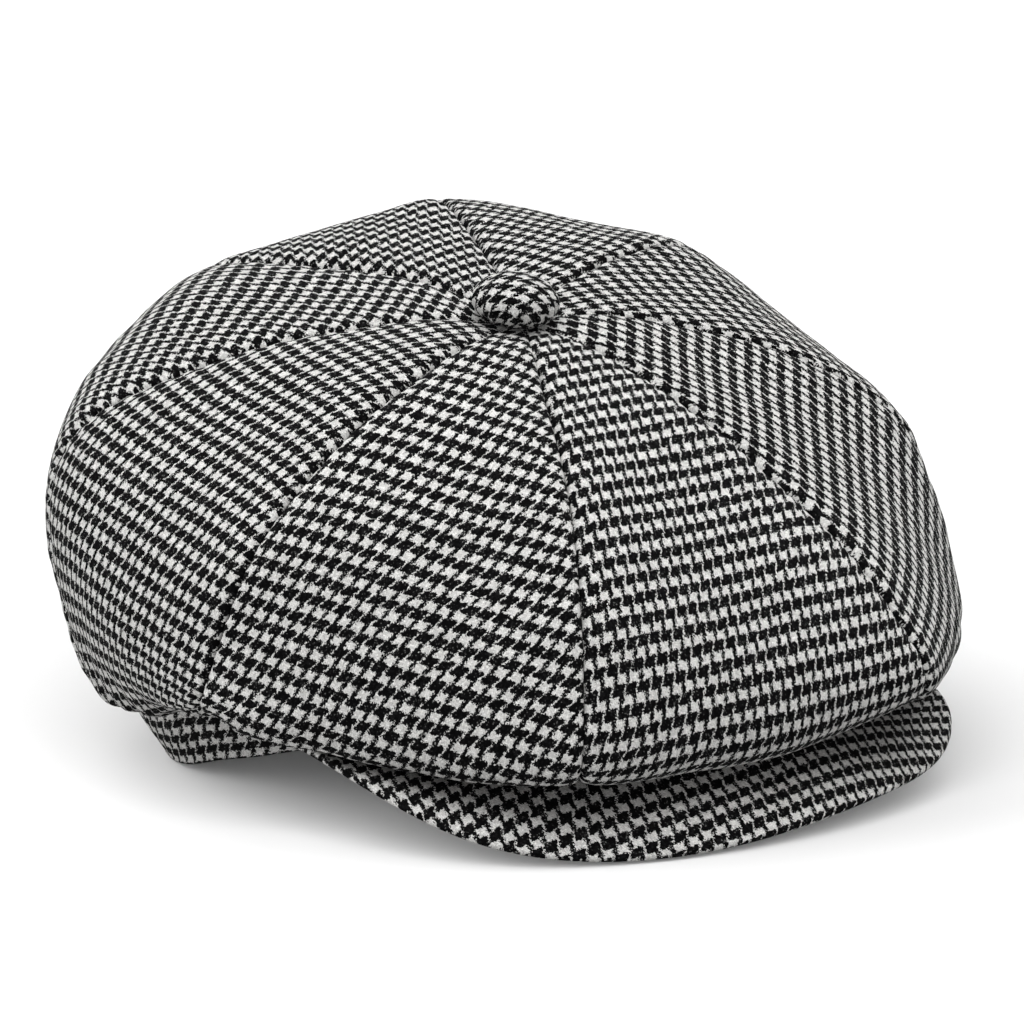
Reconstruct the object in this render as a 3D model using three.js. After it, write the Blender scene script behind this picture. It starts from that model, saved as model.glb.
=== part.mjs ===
// Eight-panel newsboy cap in woven wool: gored crown, narrow band, stiff peak and covered button.
// Millimetres, +Z up, the peak points along -Y. The cap lies as it would on a table, on the rear of
// its band and the front edge of its peak, with the crown leaning forward over the peak.
import * as THREE from 'three';

// ---------------------------------------------------------------- driving dimensions
const CLOTH_WALL = 1.8;      // crown cloth with its backing
const BAND_WALL = 2.6;       // band cloth, folded double
const PEAK_THICKNESS = 3.0;  // stiffener between two cloth faces
const PEAK_EDGE = 2.2;       // thickness at the pressed outer edge
const PEAK_ARCH = 3.2;       // rise of the peak's face between band and edge
const PEAK_END = 66.5;       // degrees from the front where each horn of the peak stops
const GAP = 0.4;             // clear space between neighbouring pieces
const SEAT_GAP = 0.5;        // clear space between crown and band, and crown and button

const CROWN = { pitch: 13.19, roll: -1.8, centreY: 0.41, centreZ: 81, apex: 53 }; // lean and apex height over the lean's centre
const BAND = { halfWidth: 84, halfLength: 100, centreY: 12 };                     // head opening, 58 cm round
const BUTTON = { seat: 10.8, radius: 12.6, waist: 3.6, height: 9.6, shiftX: -2.2, shiftY: 1.4 }; // set a little off the apex, to the rear right

// Where the rings of a seam lie: share of the widest radius, and place along the seam
const RING_SHARE = [0, 0.33, 0.66, 0.885, 1];
const RING_AT = [0, 0.2, 0.41, 0.58, 0.75, 0.92, 1];
const PANEL_START = 0.03;    // the panels stop just short of the apex, under the button

// One row for each seam, going round from the front right. angle: degrees from the front, positive to the
// wearer's left; widest: largest radius; h33, h66, h88, hWide: heights at the rings, from the lean's centre;
// lowR, lowH: the lowest fold, before the cloth turns in to the band.
const SEAMS = [
  { angle: -23.0, widest: 139.3, h33: 45.5, h66: 31.3, h88: 5.8, hWide: -23.8, lowR: 118.0, lowH: -31.4 },
  { angle: 24.5, widest: 141.1, h33: 43.1, h66: 25.1, h88: 5.7, hWide: -17.0, lowR: 116.2, lowH: -29.2 },
  { angle: 69.4, widest: 132.3, h33: 49.5, h66: 36.4, h88: 15.0, hWide: -24.2, lowR: 119.8, lowH: -38.5 },
  { angle: 113.2, widest: 132.6, h33: 56.0, h66: 46.1, h88: 17.9, hWide: -15.4, lowR: 117.0, lowH: -57.0 },
  { angle: 163.6, widest: 135.6, h33: 54.2, h66: 48.6, h88: 21.6, hWide: -19.8, lowR: 120.0, lowH: -66.0 },
  { angle: 200.2, widest: 131.2, h33: 48.7, h66: 38.8, h88: 22.4, hWide: -19.4, lowR: 119.7, lowH: -66.2 },
  { angle: 248.6, widest: 128.8, h33: 47.4, h66: 36.4, h88: 21.7, hWide: -9.7, lowR: 109.9, lowH: -64.9 },
  { angle: 290.6, widest: 133.8, h33: 46.3, h66: 31.8, h88: 9.7, hWide: -24.9, lowR: 119.1, lowH: -34.4 },
];

// One row for each panel: how far its cloth stands out of the chord between its two seams
const PANELS = [
  { name: 'panel_front', upper: 1.8, middle: 3.4, lower: 4.6 },
  { name: 'panel_front_left', upper: 0.8, middle: -0.6, lower: 6.1 },
  { name: 'panel_left', upper: -1.4, middle: 2.3, lower: 9.2 },
  { name: 'panel_back_left', upper: 0.3, middle: 3.8, lower: 5.3 },
  { name: 'panel_back', upper: 0.6, middle: 1.6, lower: 7.7 },
  { name: 'panel_back_right', upper: 0.8, middle: 4.6, lower: 4.3 },
  { name: 'panel_right', upper: 1.0, middle: 1.0, lower: 5.2 },
  { name: 'panel_front_right', upper: 1.8, middle: 0.2, lower: 5.0 },
];
const BULGE_AT = { upper: 0.3, middle: 0.58, lower: 0.82 };
const BULGE_SPREAD = 0.17;

// Band: angle from the front on either side, height of its lower and upper edge, and how far the upper edge flares out
const BAND_ROWS = [
  { angle: 0, low: 22, top: 31, flare: 3 },
  { angle: 45, low: 21, top: 30.5, flare: 3 },
  { angle: 70, low: 18, top: 29, flare: 6 },
  { angle: 83, low: 12.2, top: 27, flare: 9 },
  { angle: 92, low: 8.5, top: 25.5, flare: 11 },
  { angle: 101, low: 4.2, top: 24, flare: 13 },
  { angle: 110, low: 1.2, top: 23, flare: 14 },
  { angle: 122, low: 0, top: 22.5, flare: 14 },
  { angle: 150, low: 0, top: 23, flare: 14 },
  { angle: 180, low: 0, top: 24, flare: 14 },
];

// Peak outline about the band's centre: angle from the front, reach, and height of the lower edge on the right and left.
// The right side sits a little lower, so the cap touches the table there.
const PEAK_ROWS = [
  { angle: 0, reach: 137.2, right: 1.6, left: 1.6 },
  { angle: 18, reach: 138.4, right: 0.3, left: 6.9 },
  { angle: 36, reach: 137.6, right: 8.5, left: 12.3 },
  { angle: 50, reach: 127.3, right: 21.7, left: 21.2 },
  { angle: 61, reach: 106.7, right: 23.1, left: 23.0 },
  { angle: 70, reach: 86.0, right: 17.5, left: 17.5 },
];

// Facets
const PANEL_COLS = 8, PANEL_ROWS = 20;
const BAND_STEPS = 72;
const PEAK_COLS = 44, PEAK_RUNS = 7;
const BUTTON_STEPS = 24;

// ---------------------------------------------------------------- curves
const V = (x, y, z) => new THREE.Vector3(x, y, z);
const { degToRad: rad, radToDeg: deg, clamp, smoothstep } = THREE.MathUtils;

// Cubic spline through the points (ts, ys); the ends are free, or level where flatEnds is set
function spline(ts, ys, flatEnds = false) {
  const n = ts.length - 1, h = ts.slice(1).map((t, i) => t - ts[i]);
  const slope = h.map((w, i) => (ys[i + 1] - ys[i]) / w);
  const lower = Array(n + 1).fill(0), main = Array(n + 1).fill(1), upper = Array(n + 1).fill(0), right = Array(n + 1).fill(0);
  for (let i = 1; i < n; i++) {
    lower[i] = h[i - 1]; main[i] = 2 * (h[i - 1] + h[i]); upper[i] = h[i]; right[i] = 6 * (slope[i] - slope[i - 1]);
  }
  if (flatEnds) {
    main[0] = 2; upper[0] = 1; right[0] = (6 / h[0]) * slope[0];
    lower[n] = 1; main[n] = 2; right[n] = (-6 / h[n - 1]) * slope[n - 1];
  }
  for (let i = 1; i <= n; i++) {
    const f = lower[i] / main[i - 1];
    main[i] -= f * upper[i - 1]; right[i] -= f * right[i - 1];
  }
  const bend = Array(n + 1).fill(0);
  for (let i = n; i >= 0; i--) bend[i] = (right[i] - (i < n ? upper[i] * bend[i + 1] : 0)) / main[i];
  return (t) => {
    let i = 0;
    while (i < n - 1 && t > ts[i + 1]) i++;
    const a = (ts[i + 1] - t) / h[i], b = (t - ts[i]) / h[i];
    return a * ys[i] + b * ys[i + 1] + (((a ** 3 - a) * bend[i] + (b ** 3 - b) * bend[i + 1]) * h[i] ** 2) / 6;
  };
}

// ---------------------------------------------------------------- band
const bandAngles = BAND_ROWS.map((r) => r.angle);
const bandLow = spline(bandAngles, BAND_ROWS.map((r) => r.low), true);
const bandTop = spline(bandAngles, BAND_ROWS.map((r) => r.top), true);
const bandFlare = spline(bandAngles, BAND_ROWS.map((r) => r.flare), true);
const fromFront = (theta) => Math.abs(((((theta + 180) % 360) + 360) % 360) - 180);
const bandLowAt = (theta) => (fromFront(theta) >= 121 ? 0 : Math.max(0, bandLow(fromFront(theta))));

// Point of the band's outer face: theta round the opening, f from lower (0) to upper edge (1), out beyond the face
function bandPoint(theta, f, out = 0) {
  const a = rad(theta), low = bandLowAt(theta), top = bandTop(fromFront(theta));
  const g = bandFlare(fromFront(theta)) * f + out;
  return V((BAND.halfWidth + g) * Math.sin(a), BAND.centreY - (BAND.halfLength + g) * Math.cos(a), low + (top - low) * f);
}

// ---------------------------------------------------------------- crown
const lean = new THREE.Matrix4()
  .makeTranslation(0, CROWN.centreY, CROWN.centreZ)
  .multiply(new THREE.Matrix4().makeRotationX(rad(CROWN.pitch)))
  .multiply(new THREE.Matrix4().makeRotationY(rad(CROWN.roll)));
const crownFrame = (angle, r, h) => V(r * Math.sin(rad(angle)), -r * Math.cos(rad(angle)), h).applyMatrix4(lean);

const seams = SEAMS.map((row) => {
  const rings = [CROWN.apex, row.h33, row.h66, row.h88, row.hWide].map((h, i) => crownFrame(row.angle, RING_SHARE[i] * row.widest, h));
  rings.push(crownFrame(row.angle, row.lowR, row.lowH));
  const low = rings[5];
  const theta = deg(Math.atan2(low.x / BAND.halfWidth, -(low.y - BAND.centreY) / BAND.halfLength));
  rings.push(bandPoint(theta, 1).add(V(0, 0, SEAT_GAP)));
  const axes = ['x', 'y', 'z'].map((c) => spline(RING_AT, rings.map((p) => p[c])));
  return { theta, at: (t) => V(axes[0](t), axes[1](t), axes[2](t)) };
});
for (let k = 1; k < seams.length; k++) while (seams[k].theta < seams[k - 1].theta) seams[k].theta += 360;

// Point of the crown's outer face: panel k, s across it from seam to seam, t down it from apex to band
function crownPoint(k, s, t) {
  const a = seams[k], b = seams[(k + 1) % 8];
  const across = (u) => a.at(u).lerp(b.at(u), s);
  const base = across(t);
  const run = across(Math.min(1, t + 0.002)).sub(across(Math.max(0, t - 0.002)));
  const chord = b.at(t).sub(a.at(t));
  const out = run.clone().cross(chord).normalize();
  let bulge = 0;
  for (const c of ['upper', 'middle', 'lower']) bulge += PANELS[k][c] * Math.exp(-(((t - BULGE_AT[c]) / BULGE_SPREAD) ** 2));
  bulge *= clamp(t / 0.12, 0, 1) * clamp((1 - t) / 0.08, 0, 1);
  const thetaB = b.theta + (k === 7 ? 360 : 0);
  const foot = bandPoint(a.theta + (thetaB - a.theta) * s, 1).add(V(0, 0, SEAT_GAP)).sub(across(1));
  return base.addScaledVector(foot, smoothstep(t, 0.86, 1)).addScaledVector(out, 4 * s * (1 - s) * bulge);
}

// Outward direction of the crown there; on a seam it is shared by the two panels
function crownNormal(k, s, t) {
  const e = 0.02;
  const before = s < e ? crownPoint((k + 7) % 8, 1 + s - e, t) : crownPoint(k, s - e, t);
  const after = s > 1 - e ? crownPoint((k + 1) % 8, s - 1 + e, t) : crownPoint(k, s + e, t);
  const run = crownPoint(k, s, Math.min(1, t + 0.01)).sub(crownPoint(k, s, Math.max(0, t - 0.01)));
  return run.cross(after.sub(before)).normalize();
}

// ---------------------------------------------------------------- closed bodies
function body(points, quads, tris = []) {
  const geometry = new THREE.BufferGeometry();
  const index = [...quads.flatMap(([a, b, c, d]) => [a, b, c, a, c, d]), ...tris.flat()];
  let volume = 0;
  for (let i = 0; i < index.length; i += 3) {
    const [p, q, r] = [points[index[i]], points[index[i + 1]], points[index[i + 2]]];
    volume += p.dot(q.clone().cross(r)) / 6;
  }
  if (volume < 0) for (let i = 0; i < index.length; i += 3) [index[i], index[i + 1]] = [index[i + 1], index[i]];
  geometry.setAttribute('position', new THREE.Float32BufferAttribute(points.flatMap((p) => [p.x, p.y, p.z]), 3));
  geometry.setIndex(index);
  geometry.computeVertexNormals();
  return geometry;
}

// A wall between two grids of points, closed along its four edges
function wall(faceA, faceB) {
  const cols = faceA.length, rows = faceA[0].length, points = [...faceA.flat(), ...faceB.flat()], quads = [];
  const at = (i, j, side) => side * cols * rows + i * rows + j;
  for (let i = 0; i < cols - 1; i++)
    for (let j = 0; j < rows - 1; j++) {
      quads.push([at(i, j, 0), at(i + 1, j, 0), at(i + 1, j + 1, 0), at(i, j + 1, 0)]);
      quads.push([at(i, j, 1), at(i, j + 1, 1), at(i + 1, j + 1, 1), at(i + 1, j, 1)]);
    }
  for (let i = 0; i < cols - 1; i++) {
    quads.push([at(i, 0, 0), at(i, 0, 1), at(i + 1, 0, 1), at(i + 1, 0, 0)]);
    quads.push([at(i, rows - 1, 0), at(i + 1, rows - 1, 0), at(i + 1, rows - 1, 1), at(i, rows - 1, 1)]);
  }
  for (let j = 0; j < rows - 1; j++) {
    quads.push([at(0, j, 0), at(0, j + 1, 0), at(0, j + 1, 1), at(0, j, 1)]);
    quads.push([at(cols - 1, j, 0), at(cols - 1, j, 1), at(cols - 1, j + 1, 1), at(cols - 1, j + 1, 0)]);
  }
  return body(points, quads);
}

// A ring swept through closed sections
function hoop(sections) {
  const m = sections[0].length, n = sections.length, quads = [];
  for (let i = 0; i < n; i++)
    for (let j = 0; j < m; j++) {
      const i2 = (i + 1) % n, j2 = (j + 1) % m;
      quads.push([i * m + j, i2 * m + j, i2 * m + j2, i * m + j2]);
    }
  return body(sections.flat(), quads);
}

// A round solid through stacked rings, closed by a point at each end
function stack(first, rings, last) {
  const n = rings[0].length, points = [...rings.flat(), first, last], quads = [], tris = [];
  for (let r = 0; r < rings.length - 1; r++)
    for (let i = 0; i < n; i++) {
      const j = (i + 1) % n;
      quads.push([r * n + i, r * n + j, (r + 1) * n + j, (r + 1) * n + i]);
    }
  const top = (rings.length - 1) * n;
  for (let i = 0; i < n; i++) {
    const j = (i + 1) % n;
    tris.push([points.length - 2, j, i], [points.length - 1, top + i, top + j]);
  }
  return body(points, quads, tris);
}

// ---------------------------------------------------------------- pieces
const CLOTH_COLOUR = 0x7d7c7a; // black and off-white yarn seen together
const wool = () => new THREE.MeshStandardMaterial({ color: CLOTH_COLOUR, roughness: 0.95, metalness: 0 });
const cap = new THREE.Group();
function add(name, geometry) {
  const mesh = new THREE.Mesh(geometry, wool());
  mesh.name = name;
  cap.add(mesh);
}

PANELS.forEach((panel, k) => {
  const outer = [], inner = [];
  for (let i = 0; i <= PANEL_COLS; i++) {
    const faceRow = [], backRow = [];
    for (let j = 0; j <= PANEL_ROWS; j++) {
      const t = PANEL_START + ((1 - PANEL_START) * j) / PANEL_ROWS;
      const width = crownPoint(k, 0, t).distanceTo(crownPoint(k, 1, t));
      const trim = GAP / 2 / width;
      const s = i / PANEL_COLS, sTrimmed = trim + (1 - 2 * trim) * s;
      const p = crownPoint(k, sTrimmed, t);
      faceRow.push(p);
      backRow.push(p.clone().addScaledVector(crownNormal(k, s, t), -CLOTH_WALL));
    }
    outer.push(faceRow);
    inner.push(backRow);
  }
  add(panel.name, wall(outer, inner));
});

const bandSections = [];
for (let i = 0; i < BAND_STEPS; i++) {
  const theta = (360 * i) / BAND_STEPS;
  const face = [0, 0.5, 1].map((f) => bandPoint(theta, f));
  const back = [1, 0.5, 0].map((f) => bandPoint(theta, f, -BAND_WALL));
  bandSections.push([...face, ...back]);
}
add('band', hoop(bandSections));

const peakAngles = [...PEAK_ROWS.map((r) => -r.angle).reverse(), ...PEAK_ROWS.slice(1).map((r) => r.angle)];
const mirrored = (rightColumn, leftColumn) =>
  spline(peakAngles, [...PEAK_ROWS.map((r) => r[rightColumn]).reverse(), ...PEAK_ROWS.slice(1).map((r) => r[leftColumn])]);
const peakReach = mirrored('reach', 'reach'), peakHeight = mirrored('right', 'left');
const peakTopFace = [], peakUnderFace = [];
for (let i = 0; i <= PEAK_COLS; i++) {
  const angle = -PEAK_END + (2 * PEAK_END * i) / PEAK_COLS, a = rad(angle);
  const theta = deg(Math.atan2(Math.sin(a) / BAND.halfWidth, Math.cos(a) / BAND.halfLength));
  const bandHeight = bandTop(fromFront(theta)) - bandLowAt(theta);
  const edge = V(peakReach(angle) * Math.sin(a), BAND.centreY - peakReach(angle) * Math.cos(a), Math.max(0, peakHeight(angle)));
  const rootLow = bandPoint(theta, 0, GAP), rootTop = bandPoint(theta, PEAK_THICKNESS / bandHeight, GAP);
  const arch = PEAK_ARCH * Math.cos(rad((90 * angle) / PEAK_END));
  const topRow = [], underRow = [];
  for (let j = 0; j <= PEAK_RUNS; j++) {
    const v = j / PEAK_RUNS, rise = 4 * v * (1 - v) * arch;
    underRow.push(rootLow.clone().lerp(edge, v).add(V(0, 0, rise)));
    topRow.push(rootTop.clone().lerp(edge.clone().add(V(0, 0, PEAK_EDGE)), v).add(V(0, 0, rise)));
  }
  peakTopFace.push(topRow);
  peakUnderFace.push(underRow);
}
add('peak', wall(peakTopFace, peakUnderFace));

// The button's underside follows the crown it sits on; above that it is a plump dome on the crown's axis
const crownAxis = V(0, 0, 1).transformDirection(lean);
const buttonColumn = (i) => ({ k: Math.floor((8 * i) / BUTTON_STEPS), s: ((8 * i) / BUTTON_STEPS) % 1 });
const seatAt = (c, r) => {
  let t = 0;
  const apex = crownFrame(0, 0, CROWN.apex);
  const reach = (u) => {
    const d = crownPoint(c.k, c.s, u).sub(apex);
    return d.addScaledVector(crownAxis, -d.dot(crownAxis)).length();
  };
  while (reach(t) < r) t += 0.0005;
  return crownPoint(c.k, c.s, t).addScaledVector(crownAxis, SEAT_GAP);
};
const buttonShift = V(BUTTON.shiftX, BUTTON.shiftY, 0).transformDirection(lean).setLength(Math.hypot(BUTTON.shiftX, BUTTON.shiftY));
const buttonRings = [];
for (const share of [0.5, 1]) buttonRings.push(Array.from({ length: BUTTON_STEPS }, (_, i) => seatAt(buttonColumn(i), BUTTON.seat * share)));
for (const up of [0, 22, 44, 64, 80]) {
  const r = BUTTON.radius * Math.cos(rad(up)), h = CROWN.apex + BUTTON.waist + (BUTTON.height - BUTTON.waist) * Math.sin(rad(up));
  buttonRings.push(
    Array.from({ length: BUTTON_STEPS }, (_, i) => {
      const { k, s } = buttonColumn(i);
      const next = SEAMS[(k + 1) % 8].angle + (k === 7 ? 360 : 0);
      return crownFrame(SEAMS[k].angle + (next - SEAMS[k].angle) * s, r, h).add(buttonShift);
    }),
  );
}
const buttonFoot = crownFrame(0, 0, CROWN.apex + SEAT_GAP), buttonCrown = crownFrame(0, 0, CROWN.apex + BUTTON.height).add(buttonShift);
add('button', stack(buttonFoot, buttonRings, buttonCrown));

// The origin is on the table, under the middle of the cap's box
const box = new THREE.Box3().setFromObject(cap);
cap.position.set(-(box.min.x + box.max.x) / 2, -(box.min.y + box.max.y) / 2, -box.min.z);

export default cap;
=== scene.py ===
"""Eight-panel newsboy cap in black and white houndstooth wool: its cloth, seams, folds and weave, on a pale studio floor."""
import bpy
import numpy as np
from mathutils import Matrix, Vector


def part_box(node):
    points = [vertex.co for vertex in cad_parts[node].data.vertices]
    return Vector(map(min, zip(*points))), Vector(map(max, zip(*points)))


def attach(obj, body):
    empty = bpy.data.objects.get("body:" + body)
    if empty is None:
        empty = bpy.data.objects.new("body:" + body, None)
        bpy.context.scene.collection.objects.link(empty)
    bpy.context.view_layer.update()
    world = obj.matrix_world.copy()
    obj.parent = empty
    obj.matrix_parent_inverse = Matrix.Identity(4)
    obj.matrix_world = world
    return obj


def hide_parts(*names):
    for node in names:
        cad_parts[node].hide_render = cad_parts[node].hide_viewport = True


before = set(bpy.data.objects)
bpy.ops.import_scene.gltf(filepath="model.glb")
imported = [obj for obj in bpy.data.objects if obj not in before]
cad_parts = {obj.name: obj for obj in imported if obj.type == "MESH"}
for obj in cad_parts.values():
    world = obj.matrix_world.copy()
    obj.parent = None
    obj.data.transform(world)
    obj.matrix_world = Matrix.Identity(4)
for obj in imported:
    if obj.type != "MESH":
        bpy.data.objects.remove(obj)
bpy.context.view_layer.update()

# ---------------------------------------------------------------- sizes, in millimetres, as in the part's source
CROWN = dict(pitch=13.19, roll=-1.8, centre_y=0.41, centre_z=81.0, apex=53.0)
BAND = dict(half_width=84.0, half_length=100.0, centre_y=12.0, wall=2.6)
BUTTON = dict(seat=10.8, radius=12.6, waist=3.6, height=9.6, shift_x=-2.2, shift_y=1.4)
PEAK = dict(thickness=3.0, edge=2.2, arch=3.2, end=66.5, gap=0.4)
SEAT_GAP = 0.5
DRAWN = dict(depth=4.6, reach=17.0, waist=.7, rise=7.4, wide=12.1, foot=7.6, shift_x=-1.7, shift_y=1.2)
CLOTH = 1.6

# angle, widest radius, heights of the seam at four rings, then the radius and height of its lowest ring
SEAMS = np.array([
    [-23.0, 139.3, 45.5, 31.3, 5.8, -23.8, 118.0, -31.4],
    [24.5, 141.1, 43.1, 25.1, 5.7, -17.0, 116.2, -29.2],
    [69.4, 132.3, 49.5, 36.4, 15.0, -24.2, 119.8, -38.5],
    [113.2, 132.6, 56.0, 46.1, 17.9, -15.4, 117.0, -57.0],
    [163.6, 135.6, 54.2, 48.6, 21.6, -19.8, 120.0, -66.0],
    [200.2, 131.2, 48.7, 38.8, 22.4, -19.4, 119.7, -66.2],
    [248.6, 128.8, 47.4, 36.4, 21.7, -9.7, 109.9, -64.9],
    [290.6, 133.8, 46.3, 31.8, 9.7, -24.9, 119.1, -34.4]])
RING_SHARE = np.array([0, .33, .66, .885, 1.0])
RING_AT = np.array([0, .2, .41, .58, .75, .92, 1.0])
# how far each gore swells between its seams, high, half way and low
SWELL = {
    "panel_front": (1.8, 3.4, 4.6), "panel_front_left": (.8, -.6, 6.1), "panel_left": (-1.4, 2.3, 9.2),
    "panel_back_left": (.3, 3.8, 5.3), "panel_back": (.6, 1.6, 7.7), "panel_back_right": (.8, 4.6, 4.3),
    "panel_right": (1.0, 1.0, 5.2), "panel_front_right": (1.8, .2, 5.0)}
PANELS = list(SWELL)
# degrees from the front, lower edge, upper edge, flare
BAND_ROWS = np.array([
    [0, 22, 31, 3], [45, 21, 30.5, 3], [70, 18, 29, 6], [83, 12.2, 27, 9], [92, 8.5, 25.5, 11], [101, 4.2, 24, 13],
    [110, 1.2, 23, 14], [122, 0, 22.5, 14], [150, 0, 23, 14], [180, 0, 24, 14.0]])
# degrees from the front, reach, height of the edge on the left, height of the edge on the right
PEAK_ROWS = np.array([
    [0, 137.2, 1.6, 1.6], [18, 138.4, .3, 6.9], [36, 137.6, 8.5, 12.3], [50, 127.3, 21.7, 21.2],
    [61, 106.7, 23.1, 23.0], [70, 86.0, 17.5, 17.5]])

# where the worn cloth stands proud or sinks: both ends of a line, how far it spreads and how high it is
RELIEF = np.array([
    [-108.6, 64.9, 74.0, -108.6, 64.9, 74.0, 14, 1.7], [-93.2, 67.3, 110.0, -93.2, 67.3, 110.0, 12, 1.0],
    [13.4, 63.6, 148.2, 13.4, 63.6, 148.2, 10, 1.5], [75.2, 35.7, 136.2, 75.2, 35.7, 136.2, 14, 1.6],
    [111.6, -36.5, 89.6, 111.6, -36.5, 89.6, 10, 1.3], [-110.2, -4.7, 28.1, -113.0, -7.5, 29.5, 4.5, -4.2],
    [-117.5, -48.5, 35.8, -111.5, -56.5, 33.2, 7, 1.8], [-106.4, 54.8, 33.6, -106.4, 54.8, 33.6, 9, .9],
    [93.2, -86.2, 38.0, 93.2, -86.2, 38.0, 9, .9],
    [-120.9, -27.2, 34.9, -119.3, -43.2, 34.7, 2.5, -1.2], [-121.9, -17.4, 35.2, -124.3, -39.1, 41.0, 4, .8]])

# How the woven check lies on each cut piece, in repeats across (first row) and down (second row), as polynomials
# in the flat cut's own coordinates: the grain is straight near the middle and drifts where the cloth is eased.
LAY = {
    "panel_front": ([0.220, 0.943, -3.305, -1.929, 1.760, 0.721, -0.148, 12.979, 2.605, 3.025, -5.546, -3.074, 3.336, -2.902, 4.727, 6.621, -5.428, -0.808, -1.555, -1.555, 3.199, -0.477, 2.973, -11.292, 6.207, 1.716, -1.613, 0.832],
        [0.249, 15.220, 0.712, 0.752, -1.543, -0.453, 0.722, 0.998, -0.635, -2.888, 2.309, 2.052, -1.622, 1.233, -1.792, -1.531, 2.495, -0.420, -0.165, -0.291, 1.722, -0.981, -1.361, 3.351, -2.184, 0.287, -0.481, 0.175]),
    "panel_front_left": ([0.102, -4.523, -2.276, 2.634, 1.610, -0.686, -0.313, 13.911, -2.498, -3.607, 4.431, 2.325, -2.168, -4.073, 1.701, 5.890, -3.442, -0.333, -1.241, 1.588, 2.654, -2.523, 5.859, -7.986, 3.203, -0.052, -0.112, -0.693],
        [0.093, 16.342, -3.131, -0.917, 3.102, 0.490, -0.990, 1.492, -0.044, -0.399, 0.179, -0.929, 0.501, -0.960, 1.838, 1.109, -2.320, 0.571, 0.086, 0.478, -3.651, 2.249, 1.381, -3.828, 2.205, -0.693, 1.085, 0.089]),
    "panel_left": ([0.575, 0.304, -0.127, -0.156, 0.085, 13.244, -1.031, 1.026, -0.331, 0.073, -0.278, 0.168, -0.091, 0.097, 0.013],
        [0.654, 15.993, -0.380, 0.380, -0.106, 0.285, -0.734, 0.627, -0.184, -0.222, 0.518, -0.274, -0.080, 0.083, 0.006]),
    "panel_back_left": ([0.330, 0.779, -3.228, 3.257, -0.977, 13.058, -0.261, 0.188, -0.056, 0.049, -0.204, 0.120, -0.062, 0.058, 0.008],
        [0.955, 15.683, 0.298, -0.127, 0.021, -0.416, 1.508, -1.779, 0.646, -0.134, 0.395, -0.219, 0.154, -0.146, -0.001]),
    "panel_back": ([0.711, -0.562, 1.202, -0.858, 0.195, 13.631, -2.144, 1.998, -0.588, 0.454, -0.956, 0.450, -0.128, 0.115, -0.021],
        [0.302, 16.610, -0.892, 0.359, -0.028, -0.091, 0.627, -0.772, 0.252, -0.192, 0.400, -0.187, -0.117, 0.103, 0.010]),
    "panel_back_right": ([0.366, 1.265, -0.817, -0.492, 0.616, -0.032, -0.075, 11.198, 1.906, 1.048, -1.965, 0.791, -0.102, 1.525, -2.964, 0.638, 0.800, -0.178, 1.531, 0.115, -2.858, 1.245, -1.555, 3.596, -1.845, -1.010, 0.985, -0.015],
        [0.112, 15.592, -0.920, 1.818, -0.229, -0.893, 0.367, -0.126, 0.876, -0.702, -0.686, 0.950, -0.286, -1.258, 2.415, 1.283, -3.529, 1.292, -0.734, 1.103, -0.674, 0.231, 0.622, -1.890, 1.026, 0.313, -0.281, 0.072]),
    "panel_right": ([0.238, -4.841, -0.592, 2.362, -0.388, -0.581, 0.273, 13.426, -1.848, -0.624, 3.560, 0.269, -1.339, 1.660, 0.354, -2.972, -0.334, 1.202, -0.692, 3.506, -6.135, 2.789, -4.222, 6.832, -2.476, 1.434, -1.125, -0.226],
        [0.449, 16.512, 0.310, 1.135, -0.173, -0.756, 0.214, 2.032, 0.465, 0.616, -1.223, -2.697, 1.968, 0.365, -1.306, -0.232, 1.535, -0.595, -1.877, 4.694, -0.869, -1.044, -0.003, 0.477, -0.476, 0.452, -1.076, 0.159]),
    "panel_front_right": ([0.034, 4.790, 3.162, -2.480, -4.049, 0.252, 1.547, 12.242, -0.616, 1.310, -0.808, -1.242, 0.988, 0.891, -5.958, 2.073, 7.576, -4.436, 0.277, 2.024, -3.322, 1.761, -0.543, 3.297, -2.911, -0.194, -0.244, 0.045],
        [0.441, 14.867, 1.869, -0.215, -1.454, 0.457, 0.206, -0.976, 0.540, 1.103, -2.690, -0.504, 1.258, 0.682, -0.918, -0.141, 1.478, -0.663, 0.845, 1.124, -7.410, 4.864, -0.857, 1.221, -0.965, -0.765, 1.244, 0.367]),
    "peak": ([0.535, 3.371, -2.990, -1.616, 9.362, -9.453, 3.586, -0.446, 12.879, 0.377, -0.155, -2.297, 3.105, -1.496, 0.240, -0.930, -3.982, 6.051, -3.586, 2.461, -0.699, 0.836, -1.781, 1.216, -0.284, 0.070, 2.270, 0.747, -3.179, 0.865, -0.065, 0.309, -0.190, -0.649, 0.517, -0.001],
        [0.940, -8.311, 3.666, -1.008, -6.020, 7.114, -2.914, 0.393, 1.597, -0.013, 0.609, 0.601, -0.664, 0.308, -0.054, 1.847, 1.647, -4.785, 3.712, -1.907, 0.480, -0.869, 0.563, -1.167, 0.094, 0.007, -1.199, -0.425, 1.608, -0.566, 0.699, -0.085, 0.194, 0.172, -0.089, -0.163]),
}


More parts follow.
